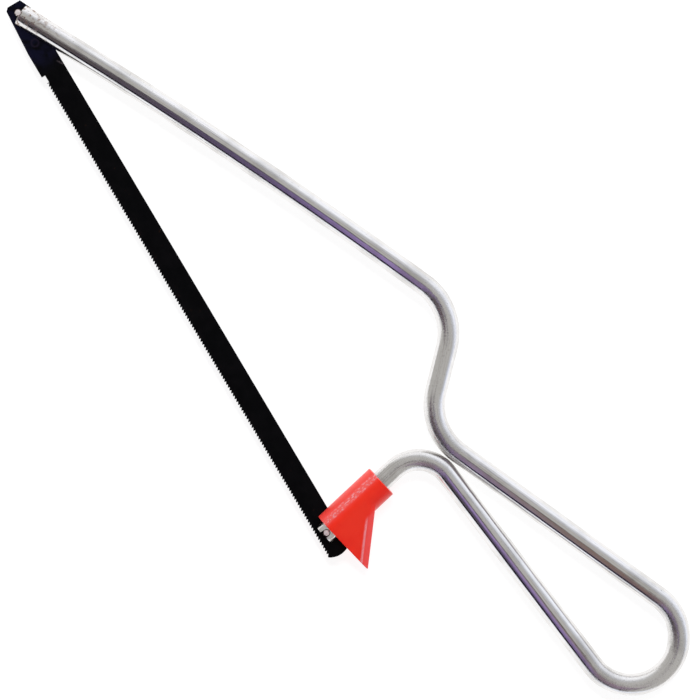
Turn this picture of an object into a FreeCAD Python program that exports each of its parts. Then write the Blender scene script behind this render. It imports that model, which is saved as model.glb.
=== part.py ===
import FreeCAD
import Part
import Sketcher
import math
import os

# Junior bow saw: one bent steel rod is both the frame and the handle loop. A thin pin-end blade sits in
# a saw cut at each end of the rod, pulled tight by the spring of the rod, and a plastic sleeve with a
# fin slides over the lower end to steady the blade. Millimetres, +Z up, lying flat. Every body is drawn
# in the blade's plane, about the blade's tip pin at the origin of its sketches. The blade runs along +X
# to its second pin, its teeth face -Y, and the frame is on the +Y side.

SIZES = {
    # rod
    "rod_diameter": 5.5,
    "pin_spacing": 150.0,
    "tip_seat_reach": 0.5,
    "heel_reach": 1.06,
    "heel_angle": 102.35,
    "hook_inside_radius": 6.21,
    "inner_grip_angle": 6.54,
    "inner_grip_length": 59.9,
    "loop_inside_radius": 9.2,
    "outer_grip_angle": 23.4,
    "outer_grip_length": 61.6,
    "lower_neck_inside_radius": 11.93,
    "neck_angle": 135.4,
    "neck_length": 11.1,
    "upper_neck_inside_radius": 12.18,
    "arm_bow_radius": 1500.0,
    "arm_tip_length": 20.0,
    # blade and pins
    "blade_width": 6.5,
    "blade_thickness": 0.65,
    "blade_tip_margin": 2.75,
    "blade_heel_margin": 6.55,
    "tip_edge_corner": 0.75,
    "tip_back_cut_length": 2.9,
    "tip_back_cut_depth": 1.35,
    "shank_taper": 0.8,
    "shank_taper_length": 10.0,
    "heel_nose_radius": 5.0,
    "shank_length": 16.5,
    "relief_length": 2.0,
    "relief_depth": 0.95,
    "tooth_recess": 0.4,
    "tooth_pitch": 0.83,
    "tooth_depth": 0.48,
    "tooth_land": 0.08,
    "tooth_rake": 0.1,
    "pin_diameter": 1.7,
    "pin_chamfer": 0.2,
    # sleeve
    "sleeve_diameter": 8.7,
    "sleeve_length": 17.5,
    "sleeve_setback": 1.09,
    "fin_reach": 13.8,
    "fin_tip_radius": 1.3,
    "fin_root_length": 11.2,
    "fin_slot_end": 12.0,
    "sleeve_travel": 4.25,
    # clearances
    "blade_side_gap": 0.175,
    "pin_gap": 0.08,
    "sleeve_gap": 0.08,
    "slit_margin": 2.5,
    "slot_floor_gap": 0.2,
    "pin_inset": 0.25,
    # the middle of the finished saw's box, measured from the tip pin and filled in below
    "middle_x": 0.0,
    "middle_y": 0.0,
}

doc = FreeCAD.newDocument("BowSaw")
sheet = doc.addObject("Spreadsheet::Sheet", "Sizes")
for row, (alias, number) in enumerate(SIZES.items(), start=1):
    sheet.set(f"A{row}", alias)
    sheet.set(f"B{row}", str(number))
    sheet.setAlias(f"B{row}", alias)
doc.recompute()


def value(words):
    """The number that an expression over the sheet's aliases comes to, angles in degrees."""
    result = sheet.evalExpression(words)
    return float(getattr(result, "Value", result))


def polar(angle, length):
    """A vector in the blade's plane, its angle in degrees from +X."""
    return FreeCAD.Vector(math.cos(math.radians(angle)), math.sin(math.radians(angle)), 0) * length


def new_body(label):
    body = doc.addObject("PartDesign::Body", label)
    body.Label = label
    return body


def place(body, along="0", across="0", turn="0"):
    """Puts a body's origin on the rod's mid-height plane, at a place measured from the tip pin."""
    body.setExpression("Placement.Base.x", f"{along} - Sizes.middle_x")
    body.setExpression("Placement.Base.y", f"{across} - Sizes.middle_y")
    body.setExpression("Placement.Base.z", "Sizes.sleeve_diameter / 2")
    body.setExpression("Placement.Rotation.Angle", f"({turn}) * 1 deg")


def new_sketch(body, name, role="XY_Plane", along="0", turn="0"):
    """A sketch on one of its body's origin planes, moved along its own x and turned."""
    sketch = body.newObject("Sketcher::SketchObject", name)
    plane = next(f for f in body.Origin.OriginFeatures if f.Role == role)
    sketch.AttachmentSupport = (plane, [""])
    sketch.MapMode = "FlatFace"
    sketch.setExpression("AttachmentOffset.Base.x", along)
    sketch.setExpression("AttachmentOffset.Rotation.Angle", f"({turn}) * 1 deg")
    return sketch


def dimension(sketch, kind, ends, words):
    """Adds one driving dimension, bound to the sheet through an expression."""
    start = value(words)
    if kind == "Angle":
        start = math.radians(start)
        words = f"({words}) * 1 deg"
    index = sketch.addConstraint(Sketcher.Constraint(kind, *ends, start))
    sketch.setExpression(f"Constraints[{index}]", words)


def constrain(sketch, kind, *ends):
    sketch.addConstraint(Sketcher.Constraint(kind, *ends))


def circle(sketch, radius, along="0"):
    """A circle centred on the sketch's x axis."""
    centre = FreeCAD.Vector(value(along), 0, 0)
    index = sketch.addGeometry(Part.Circle(centre, FreeCAD.Vector(0, 0, 1), value(radius)))
    dimension(sketch, "Radius", (index,), radius)
    fix_point(sketch, (index, 3), along, "0")
    return index


def fix_point(sketch, point, along, across):
    """Holds one point of a sketch at a place given by two expressions."""
    for kind, words in (("DistanceX", along), ("DistanceY", across)):
        if words == "0":
            axis = -2 if kind == "DistanceX" else -1
            constrain(sketch, "PointOnObject", *point, axis)
        elif value(words) < 0:
            dimension(sketch, kind, (*point, -1, 1), f"-({words})")
        else:
            dimension(sketch, kind, (-1, 1, *point), words)


def polygon(sketch, corners):
    """A closed outline of straight lines through corners given as pairs of expressions."""
    points = [FreeCAD.Vector(value(x), value(y), 0) for x, y in corners]
    lines = [
        sketch.addGeometry(Part.LineSegment(start, end))
        for start, end in zip(points, points[1:] + points[:1])
    ]
    for line, following, corner in zip(lines, lines[1:] + lines[:1], corners):
        constrain(sketch, "Coincident", line, 2, following, 1)
        fix_point(sketch, (line, 1), *corner)
    return lines


def cut_through(body, sketch, name, thickness):
    """A pocket of a given thickness, half on each side of its sketch."""
    pocket = body.newObject("PartDesign::Pocket", name)
    pocket.Profile = sketch
    pocket.SideType = "Symmetric"
    pocket.setExpression("Length", thickness)
    return pocket


def pad_even(body, sketch, name, thickness):
    """A pad of a given thickness, half on each side of its sketch."""
    pad = body.newObject("PartDesign::Pad", name)
    pad.Profile = sketch
    pad.SideType = "Symmetric"
    pad.setExpression("Length", thickness)
    return pad


class RodPath:
    """Draws the rod's centreline from its heel end to its tip: straights joined by tangent arcs."""

    def __init__(self, sketch, start, heading):
        self.sketch = sketch
        self.at = start
        self.heading = heading
        self.last = None

    def join(self, index, entry, leave):
        if self.last:
            constrain(self.sketch, "Tangent", *self.last, index, entry)
        self.last = (index, leave)
        return index

    def straight(self, length):
        end = self.at + polar(self.heading, length)
        index = self.sketch.addGeometry(Part.LineSegment(self.at, end))
        self.at = end
        return self.join(index, 1, 2)

    def bend(self, heading, radius):
        """Turns to a new heading about a former of a given radius; a left turn raises the heading."""
        side = 1 if heading > self.heading else -1
        radius = f"{radius} + Sizes.rod_diameter / 2"
        reach = value(radius)
        centre = self.at + polar(self.heading + 90 * side, reach)
        first, last = self.heading - 90 * side, heading - 90 * side
        low, high = sorted((math.radians(first), math.radians(last)))
        round_line = Part.Circle(centre, FreeCAD.Vector(0, 0, 1), reach)
        index = self.sketch.addGeometry(Part.ArcOfCircle(round_line, low, high))
        self.at = centre + polar(last, reach)
        self.heading = heading
        self.join(index, *((1, 2) if side > 0 else (2, 1)))
        dimension(self.sketch, "Radius", (index,), radius)
        return index

    def set_straight(self, length, angle):
        index = self.straight(value(length))
        dimension(self.sketch, "Distance", (index,), length)
        dimension(self.sketch, "Angle", (index,), angle)
        return index


def draw_rod_path(body):
    """The centreline. Its last straight, the arm's tip, points at the tip pin, so its slope follows."""
    sketch = new_sketch(body, "rod_path")
    heel = FreeCAD.Vector(value("Sizes.pin_spacing"), 0, 0)
    angle = value("Sizes.heel_angle")
    path = RodPath(sketch, heel - polar(angle, value("Sizes.heel_reach")), angle)
    heel_line = path.set_straight(
        "Sizes.heel_reach + Sizes.sleeve_setback + Sizes.sleeve_length + Sizes.sleeve_travel",
        "Sizes.heel_angle",
    )
    path.bend(value("Sizes.inner_grip_angle"), "Sizes.hook_inside_radius")
    path.set_straight("Sizes.inner_grip_length", "Sizes.inner_grip_angle")
    path.bend(value("180 + Sizes.outer_grip_angle"), "Sizes.loop_inside_radius")
    path.set_straight("Sizes.outer_grip_length", "180 + Sizes.outer_grip_angle")
    path.bend(value("Sizes.neck_angle"), "Sizes.lower_neck_inside_radius")
    path.set_straight("Sizes.neck_length", "Sizes.neck_angle")

    # The blade's pull bows the arm a little away from it. Its last stretch is straight and points at
    # the tip pin, so both headings follow from the rest: the bow's centre is at a known distance from
    # the pin and from the bend's centre.
    small = value("Sizes.upper_neck_inside_radius + Sizes.rod_diameter / 2")
    large = value("Sizes.arm_bow_radius + Sizes.rod_diameter / 2")
    last = value("Sizes.arm_tip_length + Sizes.tip_seat_reach")
    centre = path.at + polar(path.heading + 90, small)
    far = centre.Length
    between = large - small
    lean = math.acos((far**2 + between**2 - large**2 - last**2) / (2 * between * far))
    to_pin = math.degrees(math.atan2(-centre.y, -centre.x)) % 360
    bow_heading = to_pin - 90 + math.degrees(lean)
    path.bend(bow_heading, "Sizes.upper_neck_inside_radius")
    bow_centre = path.at + polar(bow_heading + 90, large)
    from_bow = math.degrees(math.atan2(-bow_centre.y, -bow_centre.x)) % 360
    arm_heading = (from_bow + 90 - math.degrees(math.atan2(last, large))) % 360
    path.bend(arm_heading, "Sizes.arm_bow_radius")
    arm = path.straight(value("Sizes.arm_tip_length"))
    dimension(sketch, "Distance", (arm,), "Sizes.arm_tip_length")
    constrain(sketch, "PointOnObject", -1, 1, arm)
    dimension(sketch, "Distance", (-1, 1, arm, 2), "Sizes.tip_seat_reach")

    # The heel pin's centre lies on the rod's axis, a little inside the end face.
    pin = sketch.addGeometry(Part.Point(heel), True)
    fix_point(sketch, (pin, 1), "Sizes.pin_spacing", "0")
    constrain(sketch, "PointOnObject", pin, 1, heel_line)
    dimension(sketch, "Distance", (pin, 1, heel_line, 1), "Sizes.heel_reach")

    # Read by the slit at the tip, and not a dimension that drives anything.
    index = sketch.addConstraint(Sketcher.Constraint("Angle", arm, math.radians(arm_heading)))
    sketch.setDriving(index, False)
    sketch.renameConstraint(index, "arm_heading")
    return sketch


def make_frame_rod():
    body = new_body("frame_rod")
    path = draw_rod_path(body)
    doc.recompute()

    profile = new_sketch(body, "rod_section", "XZ_Plane")
    profile.setExpression("AttachmentOffset", None)
    profile.setExpression("AttachmentOffset.Base.x", None)
    profile.setExpression("AttachmentOffset.Rotation.Angle", None)
    profile.AttachmentSupport = [(path, "Edge1"), (path, "Vertex1")]
    profile.MapMode = "NormalToEdge"
    circle(profile, "Sizes.rod_diameter / 2")
    rod = body.newObject("PartDesign::AdditivePipe", "bent_rod")
    rod.Profile = profile
    rod.Spine = (path, [])
    doc.recompute()

    # Each end is slit in the blade's plane, wide enough for the blade and its side gaps, and a little
    # deeper than where the blade's back edge leaves the rod's side.
    slit_width = "Sizes.blade_thickness + 2 * Sizes.blade_side_gap"
    for name, along, turn, lower_side in (
        ("tip_slit", "0", "rod_path.Constraints.arm_heading / 1 deg + 180", "1"),
        ("heel_slit", "Sizes.pin_spacing", "Sizes.heel_angle", "-1"),
    ):
        lean = f"({turn}) * 1 deg"
        corner = f"Sizes.blade_width / 2 + {lower_side} * Sizes.rod_diameter / 2 * cos({lean})"
        depth = f"({corner}) / sin({lean}) + Sizes.slit_margin"
        sketch = new_sketch(body, name + "_outline", along=along, turn=turn)
        side = "Sizes.rod_diameter"
        polygon(sketch, [("-" + side, "-" + side), (depth, "-" + side), (depth, side), ("-" + side, side)])
        cut_through(body, sketch, name, slit_width)

    # The tip pin rests in a shallow groove across the end face.
    hole = "Sizes.pin_diameter / 2 + Sizes.pin_gap"
    groove = new_sketch(body, "tip_groove_outline")
    circle(groove, hole)
    cut_through(body, groove, "tip_groove", "2 * Sizes.rod_diameter")

    # The heel pin drops into a notch that is open towards -Y, the way the blade swings out.
    notch = new_sketch(body, "heel_notch_outline", along="Sizes.pin_spacing")
    reach = value(hole)
    top = notch.addGeometry(
        Part.ArcOfCircle(
            Part.Circle(FreeCAD.Vector(0, 0, 0), FreeCAD.Vector(0, 0, 1), reach), 0, math.pi
        )
    )
    low = FreeCAD.Vector(0, -value("Sizes.rod_diameter"), 0)
    side = FreeCAD.Vector(reach, 0, 0)
    left = notch.addGeometry(Part.LineSegment(-side, low - side))
    bottom = notch.addGeometry(Part.LineSegment(low - side, low + side))
    right = notch.addGeometry(Part.LineSegment(low + side, side))
    constrain(notch, "Coincident", top, 3, -1, 1)
    constrain(notch, "Tangent", top, 2, left, 1)
    constrain(notch, "Coincident", left, 2, bottom, 1)
    constrain(notch, "Coincident", bottom, 2, right, 1)
    constrain(notch, "Tangent", right, 2, top, 1)
    constrain(notch, "Vertical", left)
    constrain(notch, "Vertical", right)
    constrain(notch, "Horizontal", bottom)
    dimension(notch, "Radius", (top,), hole)
    dimension(notch, "DistanceY", (bottom, 1, -1, 1), "Sizes.rod_diameter")
    cut_through(body, notch, "heel_notch", "2 * Sizes.rod_diameter")
    place(body)
    return body


def make_blade():
    """Flat strip with a tapered, clipped tip end, a plain shank, a row of fine teeth and a blunt heel."""
    body = new_body("blade")
    half = "Sizes.blade_width / 2"
    tips = f"-({half} - Sizes.tooth_recess)"
    end = "-Sizes.blade_tip_margin"
    first_tooth = "Sizes.shank_length + Sizes.relief_length"
    heel_end = "Sizes.pin_spacing + Sizes.blade_heel_margin"

    outline = new_sketch(body, "blade_outline")
    polygon(
        outline,
        [
            (end, f"-({half} - Sizes.shank_taper - Sizes.tip_edge_corner)"),
            (f"{end} + Sizes.tip_edge_corner", f"-({half} - Sizes.shank_taper)"),
            ("Sizes.shank_taper_length", f"-({half})"),
            (heel_end, f"-({half})"),
            (heel_end, half),
            (f"{end} + Sizes.tip_back_cut_length", half),
            (end, f"{half} - Sizes.tip_back_cut_depth"),
        ],
    )
    pad_even(body, outline, "strip", "Sizes.blade_thickness")

    # The heel end is a blunt nose: what lies outside an arc wider than the blade is cut away.
    thick = "2 * Sizes.blade_thickness"
    rounding = new_sketch(body, "heel_rounding_outline")
    reach, side = value("Sizes.heel_nose_radius"), value(half)
    centre = FreeCAD.Vector(value(f"{heel_end} - Sizes.heel_nose_radius"), 0, 0)
    sweep = math.asin(side / reach)
    arc = rounding.addGeometry(
        Part.ArcOfCircle(Part.Circle(centre, FreeCAD.Vector(0, 0, 1), reach), -sweep, sweep)
    )
    top = centre + polar(math.degrees(sweep), reach)
    low = centre + polar(-math.degrees(sweep), reach)
    out = FreeCAD.Vector(2 * side, 0, 0)
    upper = rounding.addGeometry(Part.LineSegment(top, top + out))
    outer = rounding.addGeometry(Part.LineSegment(top + out, low + out))
    lower = rounding.addGeometry(Part.LineSegment(low + out, low))
    constrain(rounding, "Coincident", arc, 2, upper, 1)
    constrain(rounding, "Coincident", upper, 2, outer, 1)
    constrain(rounding, "Coincident", outer, 2, lower, 1)
    constrain(rounding, "Coincident", lower, 2, arc, 1)
    constrain(rounding, "Horizontal", upper)
    constrain(rounding, "Horizontal", lower)
    constrain(rounding, "Vertical", outer)
    constrain(rounding, "PointOnObject", arc, 3, -1)
    dimension(rounding, "DistanceY", (-1, 1, arc, 2), half)
    dimension(rounding, "DistanceY", (arc, 1, -1, 1), half)
    dimension(rounding, "Radius", (arc,), "Sizes.heel_nose_radius")
    dimension(rounding, "DistanceX", (-1, 1, arc, 3), f"{heel_end} - Sizes.heel_nose_radius")
    dimension(rounding, "Distance", (upper,), "Sizes.blade_width")
    cut_through(body, rounding, "heel_rounding", thick)

    # Past the shank the edge steps in to the tooth tips, with a deeper relief before the first tooth.
    edge = new_sketch(body, "tooth_line_outline")
    below = f"-({half} + 1)"
    polygon(
        edge,
        [
            ("Sizes.shank_length", below),
            ("Sizes.pin_spacing + Sizes.blade_heel_margin + 1", below),
            ("Sizes.pin_spacing + Sizes.blade_heel_margin + 1", tips),
            (first_tooth, tips),
            (first_tooth, f"-({half} - Sizes.relief_depth)"),
            ("Sizes.shank_length", f"-({half})"),
        ],
    )
    cut_through(body, edge, "tooth_line", thick)

    # One gullet: steep on the side of the tooth's cutting face, which looks towards the handle.
    gullet = new_sketch(body, "gullet_outline")
    low = f"-({half} - Sizes.tooth_recess + Sizes.tooth_depth / 4)"
    land = f"{first_tooth} + Sizes.tooth_land"
    next_tip = f"{first_tooth} + Sizes.tooth_pitch"
    polygon(
        gullet,
        [
            (land, low),
            (next_tip, low),
            (next_tip, tips),
            (
                f"{land} + Sizes.tooth_rake",
                f"-({half} - Sizes.tooth_recess - Sizes.tooth_depth)",
            ),
            (land, tips),
        ],
    )
    first_gullet = cut_through(body, gullet, "gullet", thick)
    doc.recompute()
    row = body.newObject("PartDesign::LinearPattern", "gullet_row")
    row.Originals = [first_gullet]
    row.Direction = (gullet, ["H_Axis"])
    row.Mode = "Spacing"
    row.setExpression("Offset", "Sizes.tooth_pitch")
    toothed = "Sizes.pin_spacing + Sizes.blade_heel_margin - Sizes.shank_length - Sizes.relief_length"
    row.setExpression("Occurrences", f"floor(({toothed} - 1.2) / Sizes.tooth_pitch)")
    body.Tip = row

    for name, along in (("tip_hole", "0"), ("heel_hole", "Sizes.pin_spacing")):
        hole = new_sketch(body, name + "_outline", along=along)
        circle(hole, "Sizes.pin_diameter / 2")
        cut_through(body, hole, name, thick)
    place(body)
    return body


def make_pin(label, along):
    body = new_body(label)
    section = new_sketch(body, label + "_section")
    circle(section, "Sizes.pin_diameter / 2")
    pin = pad_even(body, section, label + "_rod", "Sizes.rod_diameter - 2 * Sizes.pin_inset")
    doc.recompute()
    rims = [f"Edge{n}" for n, edge in enumerate(pin.Shape.Edges, start=1) if len(edge.Vertexes) == 1]
    ends = body.newObject("PartDesign::Chamfer", label + "_ends")
    ends.Base = (pin, rims)
    ends.setExpression("Size", "Sizes.pin_chamfer")
    place(body, along)
    return body


def make_sleeve():
    """Plastic sleeve, drawn with its outer end face at x = 0, +x towards the hook and the fin at -y."""
    body = new_body("sleeve")

    # The fin is a wedge: two flat sides that leave the barrel at a tangent and meet at a round tip.
    fin_section = new_sketch(body, "fin_section", "YZ_Plane")
    big, small = value("Sizes.sleeve_diameter / 2"), value("Sizes.fin_tip_radius")
    reach = value("Sizes.fin_reach - Sizes.fin_tip_radius")
    spread = math.degrees(math.acos((big - small) / reach))
    tip = FreeCAD.Vector(-reach, 0, 0)
    up = FreeCAD.Vector(0, 0, 1)
    root_arc = fin_section.addGeometry(
        Part.ArcOfCircle(
            Part.Circle(FreeCAD.Vector(0, 0, 0), up, big),
            math.radians(180 + spread), math.radians(540 - spread),
        )
    )
    tip_arc = fin_section.addGeometry(
        Part.ArcOfCircle(
            Part.Circle(tip, up, small), math.radians(180 - spread), math.radians(180 + spread)
        )
    )
    top = fin_section.addGeometry(
        Part.LineSegment(polar(180 - spread, big), tip + polar(180 - spread, small))
    )
    under = fin_section.addGeometry(
        Part.LineSegment(tip + polar(180 + spread, small), polar(180 + spread, big))
    )
    constrain(fin_section, "Coincident", root_arc, 3, -1, 1)
    constrain(fin_section, "PointOnObject", tip_arc, 3, -1)
    constrain(fin_section, "Tangent", root_arc, 2, top, 1)
    constrain(fin_section, "Tangent", top, 2, tip_arc, 1)
    constrain(fin_section, "Tangent", tip_arc, 2, under, 1)
    constrain(fin_section, "Tangent", under, 2, root_arc, 1)
    dimension(fin_section, "Radius", (root_arc,), "Sizes.sleeve_diameter / 2")
    dimension(fin_section, "Radius", (tip_arc,), "Sizes.fin_tip_radius")
    dimension(fin_section, "DistanceX", (tip_arc, 3, -1, 1), "Sizes.fin_reach - Sizes.fin_tip_radius")
    wedge = body.newObject("PartDesign::Pad", "fin_wedge")
    wedge.Profile = fin_section
    wedge.setExpression("Length", "Sizes.sleeve_length")

    # The fin's long edge slants from its tip, at the end face, to the barrel's side and on to the axis.
    root = "Sizes.fin_root_length * Sizes.fin_reach / (Sizes.fin_reach - Sizes.sleeve_diameter / 2)"
    slant = new_sketch(body, "slant_outline")
    polygon(
        slant,
        [
            ("0", "-Sizes.fin_reach"),
            (root, "0"),
            ("2 * Sizes.sleeve_length", "0"),
            ("2 * Sizes.sleeve_length", "-2 * Sizes.fin_reach"),
            ("0", "-2 * Sizes.fin_reach"),
        ],
    )
    cut_through(body, slant, "slanted_edge", "2 * Sizes.sleeve_diameter")

    barrel_section = new_sketch(body, "barrel_section", "YZ_Plane")
    circle(barrel_section, "Sizes.sleeve_diameter / 2")
    barrel = body.newObject("PartDesign::Pad", "barrel")
    barrel.Profile = barrel_section
    barrel.setExpression("Length", "Sizes.sleeve_length")

    # The bore takes the rod, and the slot across the end face takes the blade's back edge.
    bore_section = new_sketch(body, "bore_section", "YZ_Plane")
    circle(bore_section, "Sizes.rod_diameter / 2 + Sizes.sleeve_gap")
    cut_through(body, bore_section, "bore", "3 * Sizes.sleeve_length")
    lean = "Sizes.heel_angle * 1 deg"
    back_corner = f"Sizes.blade_width / 2 + Sizes.slot_floor_gap - Sizes.sleeve_diameter / 2 * cos({lean})"
    floor = f"({back_corner}) / sin({lean}) - Sizes.sleeve_setback"
    slot = new_sketch(body, "slot_outline")
    polygon(
        slot,
        [
            ("-1", "-Sizes.fin_slot_end"),
            (floor, "-Sizes.fin_slot_end"),
            (floor, "Sizes.sleeve_diameter"),
            ("-1", "Sizes.sleeve_diameter"),
        ],
    )
    cut_through(body, slot, "slot", "Sizes.blade_thickness + 2 * Sizes.blade_side_gap")
    turn = "Sizes.heel_angle"
    place(
        body,
        f"Sizes.pin_spacing + Sizes.sleeve_setback * cos({turn} * 1 deg)",
        f"Sizes.sleeve_setback * sin({turn} * 1 deg)",
        turn,
    )
    return body


bodies = [
    make_frame_rod(),
    make_blade(),
    make_pin("tip_pin", "0"),
    make_pin("heel_pin", "Sizes.pin_spacing"),
    make_sleeve(),
]
doc.recompute()

# The origin is under the middle of the whole saw, on the plane that it lies on.
whole = FreeCAD.BoundBox()
for body in bodies:
    whole.add(body.Shape.optimalBoundingBox())
sheet.set(sheet.getCellFromAlias("middle_x"), str(round(whole.Center.x, 4)))
sheet.set(sheet.getCellFromAlias("middle_y"), str(round(whole.Center.y, 4)))
doc.recompute()

failed = [item.Name for item in doc.Objects if {"Invalid", "Error"} & set(item.State)]
failed += [body.Label for body in bodies if body.Shape.isNull() or not body.Shape.isValid()]
if failed:
    raise RuntimeError("these objects failed: " + ", ".join(failed))

os.makedirs("parts", exist_ok=True)
for body in bodies:
    body.Shape.exportStep(f"parts/{body.Label}.step")
    print(body.Label, round(body.Shape.Volume, 2), body.Shape.optimalBoundingBox())
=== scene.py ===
import math

import bpy
import numpy as np
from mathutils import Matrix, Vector


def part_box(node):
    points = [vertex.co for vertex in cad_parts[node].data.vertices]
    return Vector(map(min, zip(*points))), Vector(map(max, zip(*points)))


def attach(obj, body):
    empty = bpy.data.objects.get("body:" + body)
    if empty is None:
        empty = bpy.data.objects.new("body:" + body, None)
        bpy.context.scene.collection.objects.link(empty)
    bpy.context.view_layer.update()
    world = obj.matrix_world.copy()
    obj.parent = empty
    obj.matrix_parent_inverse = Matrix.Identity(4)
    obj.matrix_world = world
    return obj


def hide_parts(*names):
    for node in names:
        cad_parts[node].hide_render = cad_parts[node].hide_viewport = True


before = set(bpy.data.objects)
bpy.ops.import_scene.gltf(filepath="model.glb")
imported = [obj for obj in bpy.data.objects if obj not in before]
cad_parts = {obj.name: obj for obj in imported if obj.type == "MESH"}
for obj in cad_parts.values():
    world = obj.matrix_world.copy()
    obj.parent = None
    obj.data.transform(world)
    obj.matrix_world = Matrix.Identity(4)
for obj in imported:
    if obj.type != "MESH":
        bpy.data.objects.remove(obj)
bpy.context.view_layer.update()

# Camera: straight above the saw as it lies flat, rolled so that the blade runs down to the right.
MM = 0.001
blade_roll = math.radians(59.31)
view_width = 174.2 * MM
view_height = 650 * MM
sensor = 36
camera = bpy.data.objects.new("camera", bpy.data.cameras.new("camera"))
camera.data.sensor_width = sensor
camera.data.lens = sensor * (view_height - 4.35 * MM) / view_width
camera.location = (2.505 * MM, -3.54 * MM, view_height)
camera.rotation_euler = (0, 0, blade_roll)
bpy.context.collection.objects.link(camera)
bpy.context.scene.camera = camera


# Floor and studio: a white floor that glows a little, so that shadows stay faint; a broad low window
# beyond the tip and the bow; and on the other side, where a person would lean over the saw, dark
# clothes with a violet front. None of the room is seen directly, only mirrored in the plating.
class Shade:
    """A material's node tree: makes nodes, and wraps their outputs so that maths is written plainly."""

    def __init__(self, tree):
        self.tree = tree

    def node(self, kind, settings=None, **inputs):
        """Makes one node. Settings come first, then its sockets, by name or by position as _0, _1."""
        made = self.tree.nodes.new(kind)
        for name, given in (settings or {}).items():
            if name == "stops":
                ramp = made.color_ramp
                for place, _ in given[1:-1]:
                    ramp.elements.new(place)
                for element, (place, colour) in zip(ramp.elements, given):
                    element.position = place
                    element.color = (*colour, 1)
            else:
                setattr(made, name, given)
        for name, given in inputs.items():
            if name.startswith("_"):
                socket = made.inputs[int(name[1:])]
            else:
                socket = made.inputs[name.replace("_", " ")]
            if isinstance(given, Value):
                self.tree.links.new(given.socket, socket)
            else:
                socket.default_value = given
        return made

    def out(self, made, name=0):
        return Value(self, made.outputs[name])

    def maths(self, operation, *values):
        ins = {f"_{n}": v for n, v in enumerate(values)}
        return self.out(self.node("ShaderNodeMath", {"operation": operation}, **ins))

    def vector(self, operation, *values):
        ins = {f"_{n}": v for n, v in enumerate(values)}
        return self.out(self.node("ShaderNodeVectorMath", {"operation": operation}, **ins))

    def noise(self, where, scale, detail=3.0, roughness=0.5):
        sockets = {"Vector": where, "Scale": scale, "Detail": detail, "Roughness": roughness}
        return self.out(self.node("ShaderNodeTexNoise", None, **sockets))

    def step(self, value, low, high, to_low=0.0, to_high=1.0):
        """Goes smoothly from one number to another as the value goes from low to high."""
        sockets = {"Value": value, "From Min": low, "From Max": high, "To Min": to_low, "To Max": to_high}
        return self.out(self.node("ShaderNodeMapRange", {"interpolation_type": "SMOOTHSTEP"}, **sockets))

    def mix(self, factor, first, second):
        """A colour between two colours."""
        first, second = (given if isinstance(given, Value) else (*given, 1) for given in (first, second))
        return self.out(self.node("ShaderNodeMix", {"data_type": "RGBA"}, _0=factor, _6=first, _7=second), 2)

    def bump(self, height, strength, distance, normal=None):
        sockets = {"Height": height, "Strength": strength, "Distance": distance}
        if normal:
            sockets["Normal"] = normal
        return self.out(self.node("ShaderNodeBump", None, **sockets))

    def distance(self, place, middle):
        """How far a place is from a fixed point."""
        made = self.node("ShaderNodeVectorMath", {"operation": "DISTANCE"}, _0=place, _1=tuple(middle))
        return self.out(made, "Value")


class Value:
    """One output socket. + - * / and ** add Math nodes."""

    def __init__(self, shade, socket):
        self.shade, self.socket = shade, socket

    def __add__(self, other):
        return self.shade.maths("ADD", self, other)

    def __sub__(self, other):
        return self.shade.maths("SUBTRACT", self, other)

    def __rsub__(self, other):
        return self.shade.maths("SUBTRACT", other, self)

    def __mul__(self, other):
        return self.shade.maths("MULTIPLY", self, other)

    def __truediv__(self, other):
        return self.shade.maths("DIVIDE", self, other)

    def __pow__(self, other):
        return self.shade.maths("POWER", self, other)

    __radd__ = __add__
    __rmul__ = __mul__


def new_material(name, **constants):
    """A Principled material with its unchanging numbers set on its own sockets."""
    material = bpy.data.materials.new(name)
    material.use_nodes = True
    surface = material.node_tree.nodes["Principled BSDF"]
    for socket, number in constants.items():
        surface.inputs[socket.replace("_", " ")].default_value = number
    return material, Shade(material.node_tree), surface


def connect(shade, surface, **values):
    for socket, value in values.items():
        shade.tree.links.new(value.socket, surface.inputs[socket.replace("_", " ")])


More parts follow.
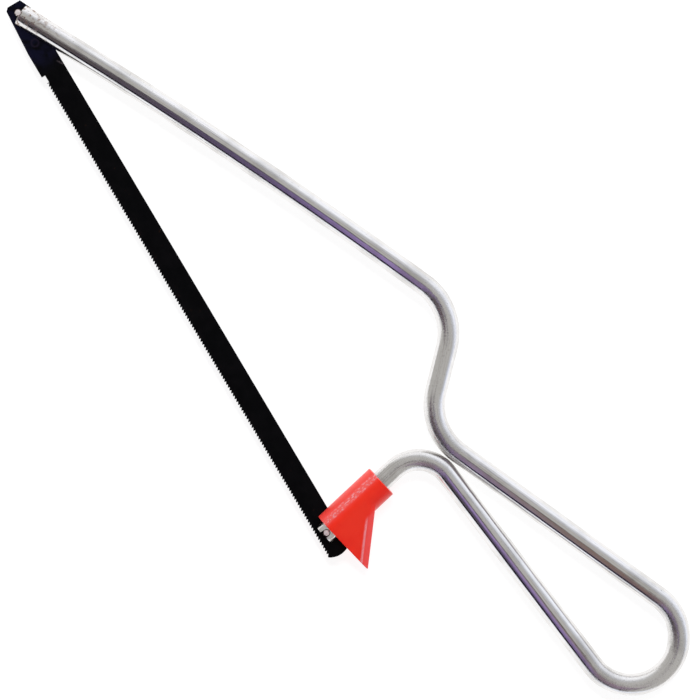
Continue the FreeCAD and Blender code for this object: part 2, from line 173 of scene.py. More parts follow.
def glow_patch(name, roll, lean, distance, strength, colours):
    """Part of a sphere about the saw. Roll goes over the saw's arm, from 0 at the horizon on the
    person's side through 90 overhead to 180 at the window; lean goes towards the handle. The colours
    are stops along the lean, in degrees, a little unevenly mixed."""
    rolls, leans = np.meshgrid(np.radians(np.linspace(*roll, 13)), np.radians(np.linspace(*lean, 13)))
    handle_way = np.array([math.cos(math.radians(24.5)), math.sin(math.radians(24.5)), 0])
    person_way = np.array([handle_way[1], -handle_way[0], 0])
    points = (
        (np.cos(leans) * np.cos(rolls))[..., None] * person_way
        + (np.cos(leans) * np.sin(rolls))[..., None] * (0, 0, 1)
        + np.sin(leans)[..., None] * handle_way
    ) * distance
    index = np.arange(169).reshape(13, 13)
    faces = np.stack([index[:-1, :-1], index[:-1, 1:], index[1:, 1:], index[1:, :-1]], axis=-1)
    mesh = bpy.data.meshes.new(name)
    mesh.from_pydata(points.reshape(-1, 3).tolist(), [], faces.reshape(-1, 4).tolist())
    material = bpy.data.materials.new(name)
    material.use_nodes = True
    material.node_tree.nodes.clear()
    shade = Shade(material.node_tree)
    place = shade.out(shade.node("ShaderNodeTexCoord"), "Object")
    reach = shade.out(
        shade.node(
            "ShaderNodeVectorMath", {"operation": "DOT_PRODUCT"}, _0=place, _1=tuple(handle_way / distance)
        ),
        "Value",
    )
    low, high = (math.sin(math.radians(end)) for end in lean)
    uneven = (reach + (shade.noise(place, 3.0) - 0.5) * 0.12 - low) / (high - low)
    stops = [((math.sin(math.radians(stop)) - low) / (high - low), colour) for stop, colour in colours]
    colour = shade.out(shade.node("ShaderNodeValToRGB", {"stops": stops}, _0=uneven))
    glow = shade.node("ShaderNodeEmission", None, Color=colour, Strength=strength)
    shade.node("ShaderNodeOutputMaterial", None, Surface=shade.out(glow))
    mesh.materials.append(material)
    patch = bpy.data.objects.new(name, mesh)
    patch.visible_camera = False
    bpy.context.collection.objects.link(patch)


floor_mesh = bpy.data.meshes.new("floor")
floor_mesh.from_pydata([(-6, -6, 0), (6, -6, 0), (6, 6, 0), (-6, 6, 0)], [], [(0, 1, 2, 3)])
floor_paint, _, floor_surface = new_material("floor_paint", Roughness=0.9, Specular_IOR_Level=0.0)
floor_surface.inputs["Base Color"].default_value = (0.26, 0.26, 0.26, 1)
floor_surface.inputs["Emission Color"].default_value = (1, 1, 1, 1)
floor_surface.inputs["Emission Strength"].default_value = 0.86
floor_mesh.materials.append(floor_paint)
floor = bpy.data.objects.new("floor", floor_mesh)
bpy.context.collection.objects.link(floor)

world = bpy.data.worlds.new("studio")
world.use_nodes = True
world.node_tree.nodes["Background"].inputs["Color"].default_value = (0.95, 0.93, 0.9, 1)
world.node_tree.nodes["Background"].inputs["Strength"].default_value = 0.5
bpy.context.scene.world = world
bpy.context.scene.view_settings.view_transform = "Standard"

white, cool, grey = (1, 1, 1), (0.84, 0.88, 1), (0.30, 0.29, 0.28)
black, navy, brown = (0.003, 0.003, 0.006), (0.012, 0.01, 0.035), (0.03, 0.02, 0.015)
glow_patch("window", (146, 184), (-80, 80), 2.6, 1.1, [(-80, white), (80, cool)])
glow_patch("window_haze", (132, 146), (-70, 70), 2.6, 0.8, [(-70, white), (70, cool)])
glow_patch("window_edge", (119, 132), (-60, 60), 2.6, 0.62, [(-60, white), (60, cool)])
glow_patch("window_frame", (126, 129), (-50, 40), 2.5, 1, [(-50, grey), (40, grey)])
glow_patch("pale_wall", (-4, 18), (-60, 60), 2.6, 1.1, [(-60, white), (60, cool)])
glow_patch("dark_clothes", (18, 70), (-38, 34), 2.4, 1, [(-38, navy), (-4, black), (3, navy), (34, brown)])
glow_patch("dark_collar", (70, 85), (-11, 11), 2.4, 1, [(-11, brown), (-4, black), (11, brown)])
cloth = [
    (-34, (0.14, 0.09, 0.13)), (-14, (0.1, 0.085, 0.08)), (-9, (0.09, 0.08, 0.07)),
    (-6.5, (0.07, 0.055, 0.11)),
    (-3.5, (0.12, 0.09, 0.17)), (-1.5, (0.34, 0.24, 0.54)), (0, (0.38, 0.27, 0.56)), (3, (0.3, 0.23, 0.38)),
    (6, (0.24, 0.2, 0.18)), (9, (0.2, 0.13, 0.1)), (16, (0.26, 0.19, 0.26)), (30, (0.3, 0.22, 0.31)),
]
glow_patch("violet_cloth", (36, 70), (-34, 30), 2.2, 1, cloth)
glow_patch("violet_scarf", (70, 80), (-11, 11), 2.2, 1, [(-11, cloth[2][1]), *cloth[3:10], (11, cloth[9][1])])
top_light = bpy.data.objects.new("top_light", bpy.data.lights.new("top_light", "AREA"))
top_light.data.shape = "DISK"
top_light.data.size = 1.6
top_light.data.energy = 150
top_light.location = (-1.3, 1.1, 2.0)
top_light.rotation_euler = (-Vector(top_light.location)).to_track_quat("-Z", "Y").to_euler()
top_light.visible_glossy = False
bpy.context.collection.objects.link(top_light)


# Frame rod: one steel wire of 5.5 mm, bent cold about round formers into the bow and the handle loop,
# then bright nickel plated. Each end is sawn through in the blade's plane and notched for a blade pin.
ROD_RADIUS = 2.75 * MM
BENDS = {"hook": 6.21, "loop": 9.2, "lower_neck": 11.93, "upper_neck": 12.18}
HEEL_ANGLE, INNER_GRIP_ANGLE, OUTER_GRIP_ANGLE, NECK_ANGLE = 102.35, 6.54, 203.4, 135.4
HEEL_STRAIGHT, INNER_GRIP, OUTER_GRIP, NECK = 23.9 * MM, 59.9 * MM, 61.6 * MM, 11.1 * MM
ARM_BOW, ARM_TIP = 1500 * MM, 20 * MM
HEEL_REACH, TIP_REACH = 1.06 * MM, 0.5 * MM

pin_ends = {name: np.array(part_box(name)) for name in ("tip_pin", "heel_pin")}
tip_pin, heel_pin = (pin_ends[name].mean(axis=0) for name in ("tip_pin", "heel_pin"))
mid_height = tip_pin[2]


def polar(angle, length):
    """A point in the saw's plane at an angle from +X in degrees and a distance."""
    return np.array([math.cos(math.radians(angle)), math.sin(math.radians(angle))]) * length


def rod_path():
    """The centreline from the heel end to the tip: straights, and arcs tangent to them. The arm is an
    arc of a very large circle, whose centre is at known distances from the tip pin and from the last
    bend's centre. Returns rows of x, y, heading, length so far and whether the row is in a bend."""
    rows = []
    at, heading, run = heel_pin[:2] - polar(HEEL_ANGLE, HEEL_REACH), HEEL_ANGLE, 0.0

    def straight(length):
        nonlocal at, run
        part = np.linspace(0, length, int(length / (1.5 * MM)) + 2)[:-1, None]
        rows.append(np.hstack([at + part * polar(heading, 1), part * 0 + heading, part + run, part * 0]))
        at, run = at + polar(heading, length), run + length

    def bend(radius, turned, step=2.5, bent=1):
        nonlocal at, run, heading
        side = 1 if turned > heading else -1
        centre = at + polar(heading + 90 * side, radius)
        turn = np.linspace(heading, turned, int(abs(turned - heading) / step) + 2)[:-1, None]
        out = np.radians(turn - 90 * side)
        spot = centre + radius * np.hstack([np.cos(out), np.sin(out)])
        gone = np.abs(turn - heading) * math.pi / 180 * radius
        rows.append(np.hstack([spot, turn, gone + run, turn * 0 + bent]))
        run += math.radians(abs(turned - heading)) * radius
        at, heading = centre + polar(turned - 90 * side, radius), turned

    straight(HEEL_STRAIGHT)
    bend(BENDS["hook"] * MM + ROD_RADIUS, INNER_GRIP_ANGLE)
    straight(INNER_GRIP)
    bend(BENDS["loop"] * MM + ROD_RADIUS, OUTER_GRIP_ANGLE)
    straight(OUTER_GRIP)
    bend(BENDS["lower_neck"] * MM + ROD_RADIUS, NECK_ANGLE)
    straight(NECK)
    small, large, last = BENDS["upper_neck"] * MM + ROD_RADIUS, ARM_BOW + ROD_RADIUS, ARM_TIP + TIP_REACH
    to_pin = tip_pin[:2] - (at + polar(heading + 90, small))
    far, between = np.linalg.norm(to_pin), large - small
    lean = math.acos((far**2 + between**2 - large**2 - last**2) / (2 * between * far))
    bend(small, math.degrees(math.atan2(to_pin[1], to_pin[0])) % 360 - 90 + math.degrees(lean))
    from_bow = tip_pin[:2] - (at + polar(heading + 90, large))
    slope = math.atan2(from_bow[1], from_bow[0]) - math.atan2(last, large)
    bend(large, (math.degrees(slope) + 90) % 360, step=0.06, bent=0)
    straight(ARM_TIP)
    rows.append(np.array([[*at, heading, run, 0]]))
    return np.vstack(rows)


def closed_grid(points, name, close_u=False):
    """A mesh from an array of points, rows by columns. Columns join round; rows join if close_u, and
    otherwise each end is closed by a fan to its middle."""
    rows, columns = points.shape[:2]
    row = np.arange(rows if close_u else rows - 1)[:, None]
    column = np.arange(columns)[None, :]
    after, beside = (row + 1) % rows, (column + 1) % columns
    quads = np.stack(
        np.broadcast_arrays(
            row * columns + column, row * columns + beside, after * columns + beside, after * columns + column
        ),
        axis=-1,
    ).reshape(-1, 4)
    vertices = points.reshape(-1, 3)
    faces = quads.tolist()
    if not close_u:
        vertices = np.vstack([vertices, points[0].mean(axis=0), points[-1].mean(axis=0)])
        first, last = len(vertices) - 2, len(vertices) - 1
        ring = np.arange(columns)
        end = (rows - 1) * columns
        faces += np.stack([np.roll(ring, -1), ring, ring * 0 + first], axis=1).tolist()
        faces += np.stack([end + ring, end + np.roll(ring, -1), ring * 0 + last], axis=1).tolist()
    mesh = bpy.data.meshes.new(name)
    mesh.from_pydata(vertices.tolist(), [], faces)
    mesh.update()
    return mesh


def new_piece(name, mesh, material, smooth=True):
    piece = bpy.data.objects.new(name, mesh)
    mesh.materials.append(material)
    mesh.polygons.foreach_set("use_smooth", np.full(len(mesh.polygons), smooth))
    bpy.context.collection.objects.link(piece)
    return piece


def face_outwards(mesh):
    """Turns the whole mesh inside out if its signed volume is negative."""
    count = len(mesh.vertices)
    places = np.empty(count * 3)
    mesh.vertices.foreach_get("co", places)
    places = places.reshape(-1, 3)
    mesh.calc_loop_triangles()
    corners = np.empty(len(mesh.loop_triangles) * 3, dtype=int)
    mesh.loop_triangles.foreach_get("vertices", corners)
    a, b, c = (places[corners.reshape(-1, 3)[:, n]] for n in range(3))
    if np.einsum("ij,ij->i", a, np.cross(b, c)).sum() < 0:
        mesh.flip_normals()


def rod_mesh():
    """A circle of the rod's radius carried along the centreline, its two rims rounded by 0.25 mm. Two
    UV maps hold the place on the rod as if it were straight: run is (length along the rod, distance
    across it), and side is (height, whether in a bend)."""
    path = rod_path()
    around_count, rim = 72, 0.25 * MM
    first, last = path[:1].copy(), path[-1:].copy()
    scales = np.ones(len(path) + 4)
    scales[[0, -1]] = (ROD_RADIUS - rim) / ROD_RADIUS
    scales[[1, -2]] = (ROD_RADIUS - 0.3 * rim) / ROD_RADIUS
    path = np.vstack([first, first, path, last, last])
    for index, shift in ((1, 0.3 * rim), (2, rim), (-2, -0.3 * rim), (-3, -rim)):
        path[index, :2] += polar(path[index, 2], shift)
        path[index, 3] += shift
    angle = np.linspace(0, 2 * math.pi, around_count, endpoint=False) - math.pi / 2
    across, up = np.cos(angle), np.sin(angle)
    turn = np.radians(path[:, 2])
    normal = np.stack([-np.sin(turn), np.cos(turn)], axis=1)
    reach = ROD_RADIUS * scales[:, None]
    points = np.empty((len(path), around_count, 3))
    points[..., :2] = path[:, None, :2] + (reach * across)[..., None] * normal[:, None, :]
    points[..., 2] = mid_height + reach * up
    mesh = closed_grid(points, "bent_rod")
    runs = np.broadcast_to(path[:, 3:4], points.shape[:2])
    bends = np.convolve(np.pad(path[:, 4], 3, "edge"), np.ones(7) / 7, "valid")
    bends = np.broadcast_to(bends[:, None], points.shape[:2])
    ends = [0, len(path) - 1]
    run_map = np.stack([runs, reach * across], axis=-1).reshape(-1, 2)
    side_map = np.stack([reach * up, bends], axis=-1).reshape(-1, 2)
    caps = np.array([[path[n, 3], 0] for n in ends])
    corners = np.empty(len(mesh.loops), dtype=int)
    mesh.loops.foreach_get("vertex_index", corners)
    for name, table, cap in (("run", run_map, caps), ("side", side_map, caps * 0)):
        layer = mesh.uv_layers.new(name=name)
        layer.data.foreach_set("uv", np.vstack([table, cap])[corners].ravel())
    face_outwards(mesh)
    return mesh, path


def block(name, along, across, thickness, middle, heading):
    """A cutter box: its length runs at a heading from a middle point, between two distances."""
    corners = np.array(
        [[a, b, c] for a in along for b in across for c in (-thickness / 2, thickness / 2)]
    )
    ahead, aside = polar(heading, 1), polar(heading + 90, 1)
    points = np.zeros((8, 3))
    points[:, :2] = middle[:2] + corners[:, :1] * ahead + corners[:, 1:2] * aside
    points[:, 2] = mid_height + corners[:, 2]
    faces = [(0, 1, 3, 2), (4, 6, 7, 5), (0, 4, 5, 1), (2, 3, 7, 6), (0, 2, 6, 4), (1, 5, 7, 3)]
    mesh = bpy.data.meshes.new(name)
    mesh.from_pydata(points.tolist(), [], faces)
    face_outwards(mesh)
    return mesh


def round_slot(name, middle, radius, heading, reach):
    """A cutter: a half circle about a middle point, carried straight on at a heading, and tall."""
    sweep = np.radians(np.linspace(heading + 90, heading + 270, 33))
    rim = middle[:2] + radius * np.stack([np.cos(sweep), np.sin(sweep)], axis=1)
    rim = np.vstack([rim, rim[-1:] + polar(heading, reach), rim[:1] + polar(heading, reach)])
    tall = 6 * MM
    points = np.stack([np.column_stack([rim, rim[:, 0] * 0 + mid_height + z]) for z in (-tall, tall)])
    mesh = closed_grid(points, name)
    face_outwards(mesh)
    return mesh


def carve(piece, cutters):
    """Cuts closed meshes out of a piece and keeps the result as its mesh."""
    for cutter_mesh in cutters:
        cutter = bpy.data.objects.new(cutter_mesh.name, cutter_mesh)
        bpy.context.collection.objects.link(cutter)
        cut = piece.modifiers.new("cut", "BOOLEAN")
        cut.operation, cut.solver, cut.object = "DIFFERENCE", "EXACT", cutter
        view = bpy.context.evaluated_depsgraph_get()
        done = bpy.data.meshes.new_from_object(piece.evaluated_get(view))
        piece.modifiers.clear()
        piece.data = done
        bpy.data.objects.remove(cutter)


plating, shade, surface = new_material("nickel_plating", Metallic=1.0)
run_map = shade.node("ShaderNodeUVMap", {"uv_map": "run"})
side_map = shade.node("ShaderNodeUVMap", {"uv_map": "side"})
run_parts = shade.node("ShaderNodeSeparateXYZ", None, Vector=shade.out(run_map))
side_parts = shade.node("ShaderNodeSeparateXYZ", None, Vector=shade.out(side_map))
in_bend = shade.out(side_parts, "Y")
straightened = shade.out(
    shade.node(
        "ShaderNodeCombineXYZ",
        None,
        X=shade.out(run_parts, "X"),
        Y=shade.out(run_parts, "Y"),
        Z=shade.out(side_parts, "X"),
    )
)
drawn = shade.vector("MULTIPLY", straightened, (60.0, 4200.0, 4200.0))
draw_lines = shade.noise(drawn, 1.0, 4.0, 0.6)
fine = shade.vector("MULTIPLY", straightened, (260.0, 9000.0, 9000.0))
hairlines = shade.noise(fine, 1.0, 2.0, 0.5)
peel = shade.noise(straightened, 1500.0, 3.0, 0.6)
dents = shade.noise(straightened, 420.0, 2.0, 0.5)
cloud = shade.noise(straightened, 90.0, 3.0, 0.6)
pits = shade.step(shade.noise(straightened, 2600.0, 2.0, 0.6), 0.66, 0.72)
place = shade.out(shade.node("ShaderNodeTexCoord"), "Object")
near_tip, near_heel = shade.distance(place, tip_pin), shade.distance(place, heel_pin)
raw_ends = shade.step(near_tip, 2.5 * MM, 15 * MM, 1, 0) + shade.step(near_heel, 1.8 * MM, 4 * MM, 1, 0)
rust_spots = shade.step(shade.noise(straightened, 1100.0, 4.0, 0.65), 0.5, 0.62) * raw_ends
tarnish = shade.step(cloud, 0.42, 0.7)
bright = shade.mix(tarnish, (0.87, 0.86, 0.85), (0.7, 0.69, 0.675))
streaks = shade.step(draw_lines, 0.54, 0.66)
bright = shade.mix(streaks * 0.35, bright, (0.42, 0.37, 0.34))
bright = shade.mix(pits * 0.6, bright, (0.3, 0.27, 0.24))
bright = shade.mix(rust_spots * 0.8, bright, (0.22, 0.1, 0.035))
rough = 0.07 + hairlines * 0.10 + in_bend * peel * 0.24 + tarnish * 0.05 + rust_spots * 0.4
draw_height = draw_lines * (1 - 0.6 * in_bend) * 0.5 + hairlines * 0.25
first_normal = shade.bump(draw_height, 0.6, 0.02 * MM)
second_normal = shade.bump(peel * in_bend + dents * (0.3 + in_bend), 0.6, 0.04 * MM, first_normal)
connect(shade, surface, Base_Color=bright, Roughness=rough, Normal=second_normal)

bent_rod_mesh, rod_rows = rod_mesh()
bent_rod = new_piece("bent_rod", bent_rod_mesh, plating)
arm_heading = rod_rows[-1, 2] + 180
slit_width, tip_slit_depth, heel_slit_depth, pin_seat = 1.0 * MM, 14.99 * MM, 6.43 * MM, 0.93 * MM
past_end = -2 * MM
rod_wide = (-4 * MM, 4 * MM)
carve(
    bent_rod,
    [
        block("tip_slit", (past_end, tip_slit_depth), rod_wide, slit_width, tip_pin, arm_heading),
        block("heel_slit", (past_end, heel_slit_depth), rod_wide, slit_width, heel_pin, HEEL_ANGLE),
        round_slot("tip_groove", tip_pin, pin_seat, arm_heading + 180, 3 * MM),
        round_slot("heel_notch", heel_pin, pin_seat, -90, 5 * MM),
    ],
)
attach(bent_rod, "frame")
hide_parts("frame_rod")

# Blade: a strip of tool steel 0.65 mm thick, punched, toothed, wavy set and blued almost black. It has
# a plain shank that tapers to a clipped tip, a small relief before the teeth, and a blunt heel.
WIDTH, THICKNESS = 6.5 * MM, 0.65 * MM
TIP_MARGIN, HEEL_MARGIN, TIP_CORNER = 2.75 * MM, 6.55 * MM, 0.75 * MM
BACK_CUT, BACK_CUT_DEPTH, TAPER, TAPER_LENGTH = 2.9 * MM, 1.35 * MM, 0.8 * MM, 10 * MM
SHANK, RELIEF, RELIEF_DEPTH, NOSE = 16.5 * MM, 2.0 * MM, 0.95 * MM, 5.0 * MM
PITCH, TOOTH_DEPTH, LAND, RAKE, RECESS = 0.83 * MM, 0.48 * MM, 0.08 * MM, 0.1 * MM, 0.4 * MM
SET_WAVE, SET_LENGTH = 0.16 * MM, 4.15 * MM
pin_spacing = heel_pin[0] - tip_pin[0]


def blade_mesh():
    """Stations along the blade, each a closed thin rectangle from the lower edge to the top edge. Each
    tooth takes three stations: its tip, the end of its land, and the bottom of its gullet. The tooth
    line waves sideways as a sine of the distance along, fading out above the gullets."""
    half, end = WIDTH / 2, pin_spacing + HEEL_MARGIN
    first = SHANK + RELIEF
    centre = end - NOSE
    tips = first + PITCH * np.arange(int((end - first - 1.2 * MM) / PITCH) + 1)
    tooth_x = (tips[:, None] + np.array([0.0, LAND, LAND + RAKE])).ravel()
    tooth_low = np.tile([-(half - RECESS)] * 2 + [-(half - RECESS - TOOTH_DEPTH)], len(tips))
    start_x = np.array([0, 0.5 * TIP_CORNER, TIP_CORNER, 1.7 * TIP_CORNER, BACK_CUT]) - TIP_MARGIN
    start_x = np.append(start_x, np.linspace(1.2 * MM, TAPER_LENGTH, 7))
    turns_x = [-TIP_MARGIN, TIP_CORNER - TIP_MARGIN, TAPER_LENGTH]
    start_low = np.interp(start_x, turns_x, [TAPER + TIP_CORNER - half, TAPER - half, -half])
    plain_x = np.append(np.arange(TAPER_LENGTH + MM, SHANK - 0.5 * MM, 1.5 * MM), [SHANK - 0.01 * MM])
    step_x = np.array([SHANK, (SHANK + first) / 2, first - 0.01 * MM])
    bow = np.linspace(math.asin(half / NOSE), 0.03, 16)
    round_x, arc = centre + NOSE * np.cos(bow), NOSE * np.sin(bow)
    x = np.concatenate([start_x, plain_x, step_x, tooth_x, round_x])
    low = np.concatenate(
        [start_low, plain_x * 0 - half, step_x * 0 - half + RELIEF_DEPTH, tooth_low,
         -np.minimum(arc, half - RECESS)]
    )
    top = np.full(len(x), half)
    top[:5] = np.interp(start_x[:5], [-TIP_MARGIN, BACK_CUT - TIP_MARGIN], [half - BACK_CUT_DEPTH, half])
    top[-len(round_x):] = np.minimum(arc, half)
    chamfer = 0.06 * MM
    share = np.concatenate([[0, 0], np.linspace(0, 1, 12) ** 1.3, [1, 1], np.linspace(1, 0, 12) ** 1.3])
    thick = THICKNESS / 2
    side = np.concatenate([[-1, 1], np.ones(12), [1, -1], -np.ones(12)]) * thick
    inset = np.zeros(28)
    side[[0, 1]] *= 0.72
    side[[14, 15]] *= 0.72
    inset[[2, 27]] = chamfer
    inset[[13, 16]] = -chamfer
    y = low[:, None] + (top - low)[:, None] * share + inset
    fade = np.clip((-y - half + 1.7 * MM) / (1.2 * MM), 0, 1)
    toothed = np.clip((x - first) / (3 * MM), 0, 1) * np.clip((end - x) / (3 * MM), 0, 1)
    wave = SET_WAVE * np.sin(2 * math.pi * x / SET_LENGTH) * toothed
    points = np.empty((*y.shape, 3))
    points[..., 0] = tip_pin[0] + x[:, None]
    points[..., 1] = tip_pin[1] + y
    points[..., 2] = mid_height + side + wave[:, None] * fade**1.5
    mesh = closed_grid(points, "toothed_strip")
    face_outwards(mesh)
    return mesh


blued, shade, surface = new_material("blued_steel")
surface.inputs["Specular IOR Level"].default_value = 0.07
place = shade.out(shade.node("ShaderNodeTexCoord"), "Object")
centred = shade.vector("SUBTRACT", place, tuple(tip_pin))
parts = shade.node("ShaderNodeSeparateXYZ", None, Vector=centred)
along, upward = shade.out(parts, "X"), shade.out(parts, "Y")
ground = shade.noise(shade.vector("MULTIPLY", centred, (140.0, 5200.0, 900.0)), 1.0, 4.0, 0.65)
blotch = shade.noise(centred, 260.0, 4.0, 0.6)
grain = shade.noise(centred, 3800.0, 3.0, 0.6)
shank = shade.step(along, 11 * MM, 17 * MM, 1, 0)
rusty = shade.step(shade.noise(centred, 700.0, 4.0, 0.6), 0.62, 0.72) * shade.step(blotch, 0.5, 0.6)
ring_middle = (tip_pin[0] + 8.3 * MM, tip_pin[1] - 0.3 * MM, 0)
off_ring = shade.distance(shade.vector("MULTIPLY", place, (1.0, 1.0, 0.0)), ring_middle)
ring = shade.step(off_ring, 0.55 * MM, 0.85 * MM) * shade.step(off_ring, 0.95 * MM, 1.3 * MM, 1, 0)
scratch_line = upward - 2.6 * MM - 0.6 * (along - 15.6 * MM)
scratch = (
    shade.step(scratch_line * scratch_line, 0, 0.09 * MM * MM, 1, 0)
    * shade.step(along, 14.6 * MM, 15.2 * MM)
    * shade.step(along, 16.2 * MM, 16.8 * MM, 1, 0)
    * shade.step(grain, 0.4, 0.6)
)
bare = shade.step(0 - upward, 2.62 * MM, 2.9 * MM) * shade.step(along, 18 * MM, 19 * MM)
colour = shade.mix(shade.step(blotch, 0.35, 0.7), (0.0008, 0.0008, 0.0012), (0.0022, 0.002, 0.0026))
colour = shade.mix(shank * shade.step(blotch, 0.35, 0.6), colour, (0.0042, 0.0045, 0.016))
colour = shade.mix(rusty * 0.5, colour, (0.035, 0.012, 0.006))
colour = shade.mix(ring * 0.5, colour, (0.02, 0.014, 0.03))
colour = shade.mix(scratch * 0.6, colour, (0.16, 0.13, 0.14))
colour = shade.mix(bare * grain * 0.35, colour, (0.05, 0.05, 0.055))
rough = 0.42 + 0.16 * ground + 0.1 * blotch
normal = shade.bump(ground * 0.6 + grain * 0.3, 0.25, 0.012 * MM)
connect(shade, surface, Base_Color=colour, Roughness=rough, Normal=normal)
toothed_strip = new_piece("toothed_strip", blade_mesh(), blued, smooth=False)
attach(toothed_strip, "blade")
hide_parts("blade")


# Blade pins: two turned steel pins pressed through the blade's ends. They hook behind the rod's ends,
# and the blade's tension holds them there. Their ends are domed, bright where rubbed, rusty at the rim.
def pin_mesh(name, low, high):
    """A profile of radius against height, turned about the pin's upright axis: a domed end, a rounded
    rim, the straight side, and the same again. Each end closes in a fan."""
    middle, radius = (low + high) / 2, (high[0] - low[0]) / 2
    rise = 0.18 * MM
    bend = np.linspace(0, math.pi / 2, 8)
    dome_radius = np.append(np.linspace(0.1, 0.8, 5) * radius, radius * (0.8 + 0.2 * np.sin(bend)))
    dome_drop = np.append(rise * 0.5 * np.linspace(0.1, 0.8, 5) ** 2, rise * (1 - 0.68 * np.cos(bend)))
    radii = np.concatenate([dome_radius, dome_radius[::-1]])
    heights = np.concatenate([low[2] + dome_drop, (high[2] - dome_drop)[::-1]])
    turn = np.linspace(0, 2 * math.pi, 40, endpoint=False)
    points = np.empty((len(radii), 40, 3))
    points[..., 0] = middle[0] + radii[:, None] * np.cos(turn)
    points[..., 1] = middle[1] + radii[:, None] * np.sin(turn)
    points[..., 2] = heights[:, None]
    mesh = closed_grid(points, name)
    face_outwards(mesh)
    return mesh


turned, shade, surface = new_material("turned_steel", Metallic=0.45)
place = shade.out(shade.node("ShaderNodeTexCoord"), "Object")
spots = shade.noise(place, 1900.0, 4.0, 0.65)
fine = shade.noise(place, 9000.0, 2.0, 0.5)
level = shade.vector("MULTIPLY", place, (1.0, 1.0, 0.0))
off_middle, off_heel = (shade.distance(level, (*pin[:2], 0)) for pin in (tip_pin, heel_pin))
from_axis = shade.maths("MINIMUM", off_middle, off_heel)
rim = shade.step(from_axis, 0.62 * MM, 0.8 * MM)
rust = rim * shade.step(spots, 0.3, 0.45)
colour = shade.mix(shade.step(spots, 0.3, 0.7), (0.97, 0.93, 0.93), (0.84, 0.76, 0.75))
colour = shade.mix(rust * 0.9, colour, (0.1, 0.03, 0.015))
rough = 0.34 + 0.12 * fine + 0.3 * rust
normal = shade.bump(fine * 0.4 + spots, 0.3, 0.03 * MM)
connect(shade, surface, Base_Color=colour, Roughness=rough, Normal=normal)
for node_name, piece_name in (("tip_pin", "domed_tip_pin"), ("heel_pin", "domed_heel_pin")):
    domed_pin = new_piece(piece_name, pin_mesh(piece_name, *pin_ends[node_name]), turned)
    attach(domed_pin, "blade")
    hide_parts(node_name)


# Sleeve: a moulded part of glossy red plastic that slides on the rod's heel. Its barrel is slotted for
# the blade, and its wedge-shaped fin, bevelled along the slant, takes the thumb.
SLEEVE_RADIUS, BORE, SLEEVE_LENGTH = 4.35 * MM, 2.83 * MM, 17.5 * MM
FIN_REACH, FIN_TIP, FIN_ROOT, SETBACK = 13.8 * MM, 1.3 * MM, 11.2 * MM, 1.09 * MM
BEVEL_SLOPE, BEVEL_DEPTH, MOULD_RIM = 1.35, 0.85 * MM, 0.25 * MM


def sleeve_mesh():
    """A closed ring of sections: along the outside, over the inner end face, back through the bore and
    out over the outer end face. The outside's radius at an angle is the larger of the barrel's and the
    fin's; the fin's is the smallest, with soft corners, of a wedge with a round tip, the slanted edge
    and that edge's bevel."""
    around_count = 220
    sweep = np.linspace(-1, 1, around_count, endpoint=False)
    angle = math.pi * np.sign(sweep) * np.abs(sweep) ** 1.7
    flat_angle = math.acos((SLEEVE_RADIUS - FIN_TIP) / (FIN_REACH - FIN_TIP))
    touch = math.atan2(FIN_TIP * math.sin(flat_angle), FIN_REACH - FIN_TIP + FIN_TIP * math.cos(flat_angle))
    size = np.abs(angle)
    tip_middle = FIN_REACH - FIN_TIP
    off_line = np.maximum(FIN_TIP**2 - (tip_middle * np.sin(size)) ** 2, 0)
    round_tip = tip_middle * np.cos(size) + np.sqrt(off_line)
    flat = SLEEVE_RADIUS / np.maximum(np.cos(size - flat_angle), 0.05)
    wedge = np.where(size < touch, round_tip, np.where(size < flat_angle, flat, SLEEVE_RADIUS))
    slant_end = FIN_ROOT * FIN_REACH / (FIN_REACH - SLEEVE_RADIUS)
    along = np.concatenate(
        [[0, 0.3 * MOULD_RIM, MOULD_RIM], np.linspace(0, 1, 60)[1:-1] * SLEEVE_LENGTH,
         SLEEVE_LENGTH - np.array([MOULD_RIM, 0.3 * MOULD_RIM, 0])]
    )
    along = np.unique(along)[:, None]
    edge = FIN_REACH * (1 - along / slant_end)
    half_thick = (SLEEVE_RADIUS - edge * math.cos(flat_angle)) / math.sin(flat_angle)
    ahead = np.maximum(np.cos(size), 0.02)
    cut = edge / ahead
    lean = np.maximum(np.cos(size) + BEVEL_SLOPE * np.sin(size), 0.02)
    bevel = (edge + BEVEL_SLOPE * (half_thick - BEVEL_DEPTH)) / lean
    soft = 0.09 * MM
    fin = -soft * np.log(np.exp(-wedge / soft) + np.exp(-cut / soft) + np.exp(-bevel / soft))
    outside = np.maximum(np.where(size < math.pi / 2, fin, 0), SLEEVE_RADIUS)
    near_end = np.minimum(along, SLEEVE_LENGTH - along)
    fall = np.maximum(MOULD_RIM - near_end, 0)
    outside = outside - (MOULD_RIM - np.sqrt(np.maximum(MOULD_RIM**2 - fall**2, 0)))
    steps = np.linspace(0, 1, 7)[1:-1, None]
    inner_face = outside[-1] * (1 - steps) + BORE * steps
    outer_face = outside[0] * steps + BORE * (1 - steps)
    bore_along = np.linspace(SLEEVE_LENGTH, 0, 12)[:, None]
    radii = np.vstack([outside, inner_face, np.full((12, around_count), BORE), outer_face])
    run = np.vstack([along, steps * 0 + SLEEVE_LENGTH, bore_along, steps * 0])
    up_rod, fin_way = polar(HEEL_ANGLE, 1), polar(HEEL_ANGLE - 90, 1)
    start = heel_pin[:2] + SETBACK * up_rod
    reach = radii * np.cos(angle)
    points = np.empty((*radii.shape, 3))
    points[..., :2] = start + run[..., None] * up_rod + reach[..., None] * fin_way
    points[..., 2] = mid_height + radii * np.sin(angle)
    mesh = closed_grid(points, "red_sleeve", close_u=True)
    face_outwards(mesh)
    return mesh


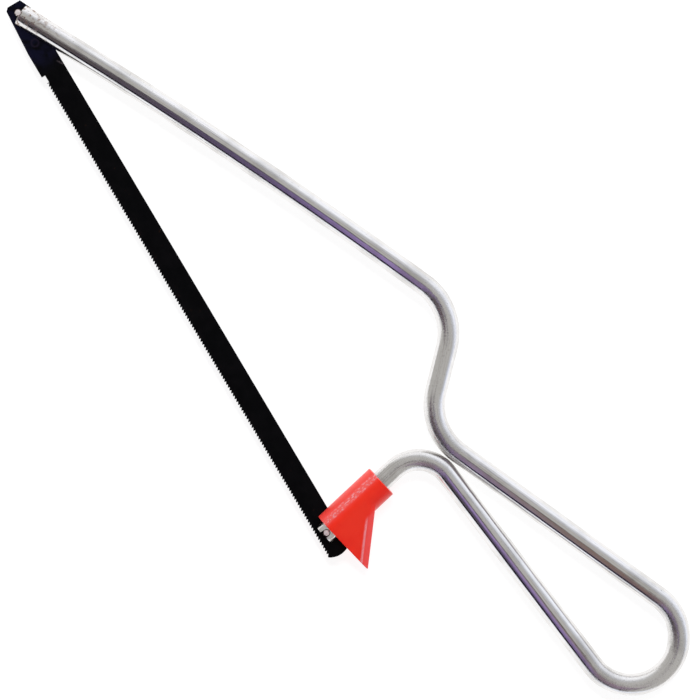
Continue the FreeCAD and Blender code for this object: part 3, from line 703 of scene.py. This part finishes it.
red_plastic, shade, surface = new_material("red_plastic", IOR=1.5)
surface.inputs["Specular IOR Level"].default_value = 0.42
place = shade.out(shade.node("ShaderNodeTexCoord"), "Object")
centred = shade.vector("SUBTRACT", place, tuple(heel_pin))
turn = shade.node("ShaderNodeVectorRotate", {"rotation_type": "Z_AXIS"}, Vector=centred)
turn.inputs["Angle"].default_value = -math.radians(HEEL_ANGLE)
straight_up = shade.out(turn)
parts = shade.node("ShaderNodeSeparateXYZ", None, Vector=straight_up)
along, aside = shade.out(parts, "X"), shade.out(parts, "Y")
orange_peel = shade.noise(centred, 900.0, 3.0, 0.55)
cloud = shade.noise(centred, 160.0, 3.0, 0.6)
nicks = shade.noise(shade.vector("MULTIPLY", straight_up, (1100.0, 2300.0, 1500.0)), 1.0, 3.0, 0.6)
# Painted highlight along the barrel, 2.1 mm to the window side of the axis: a pale pink band, and in it
# pale-pink painted glints on real nicks, which also show in roughness and bump.
off_highlight_band = (aside - 2.1 * MM) / (0.95 * MM)
wear_and_highlight_band = shade.step(off_highlight_band * off_highlight_band, 0.05, 1.0, 1, 0)
nicks_and_glints = wear_and_highlight_band * shade.step(nicks, 0.5, 0.6)
edge_gap = (FIN_REACH + aside - along * (FIN_REACH - SLEEVE_RADIUS) / FIN_ROOT) * 0.7644
# Painted highlight: a pale-pink line on the fin's bevel, 0.7 to 1.6 mm in from the slanted edge, broken up by
# the nick noise.
bevel_highlight = (
    shade.step(edge_gap, 0.7 * MM, 1.0 * MM) * shade.step(edge_gap, 1.15 * MM, 1.6 * MM, 1, 0)
    * shade.step(0 - aside, 3.6 * MM, 5.2 * MM)
)
# Painted sheen: the fin's bevel, within about 1 mm of the slanted edge, is tinted lighter pink, as if lit.
bevel_sheen = shade.step(edge_gap, 0.9 * MM, 1.1 * MM, 1, 0) * shade.step(0 - aside, 3.6 * MM, 4.6 * MM)
scuffs = shade.noise(shade.vector("MULTIPLY", straight_up, (300.0, 3000.0, 3000.0)), 1.0, 3.0, 0.6)
colour = shade.mix(shade.step(cloud, 0.35, 0.65), (0.97, 0.017, 0.004), (0.99, 0.028, 0.008))
# Painted sheen: the side of the barrel that faces the window is tinted pinker, as if lit more.
colour = shade.mix(shade.step(aside, 0.4 * MM, 2.0 * MM) * 0.5, colour, (0.96, 0.10, 0.09))
# Painted highlight: the pale pink band along the barrel, then the pale-pink glints on its nicks.
colour = shade.mix(wear_and_highlight_band * 0.35, colour, (0.98, 0.22, 0.2))
colour = shade.mix(nicks_and_glints * 0.6, colour, (0.93, 0.5, 0.56))
colour = shade.mix(bevel_sheen * 0.6, colour, (0.98, 0.09, 0.09))
colour = shade.mix(bevel_highlight * shade.step(nicks, 0.3, 0.55, 0.5, 1) * 0.75, colour, (0.97, 0.36, 0.4))
rough = 0.24 + 0.12 * scuffs + 0.25 * nicks_and_glints
normal = shade.bump(orange_peel * 0.4 + scuffs * 0.12, 0.2, 0.03 * MM)
normal = shade.bump(nicks_and_glints, 0.6, 0.08 * MM, normal)
connect(shade, surface, Base_Color=colour, Roughness=rough, Normal=normal)

red_sleeve = new_piece("red_sleeve", sleeve_mesh(), red_plastic)
slot_start = heel_pin + np.append(SETBACK * polar(HEEL_ANGLE, 1), 0)
carve(
    red_sleeve,
    [block("blade_slot", (-1 * MM, 3.4 * MM), (-12.0 * MM, 6 * MM), slit_width, slot_start, HEEL_ANGLE)],
)
red_sleeve.data.set_sharp_from_angle(angle=math.radians(38))
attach(red_sleeve, "sleeve")
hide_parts("sleeve")
bent_rod.data.set_sharp_from_angle(angle=math.radians(38))
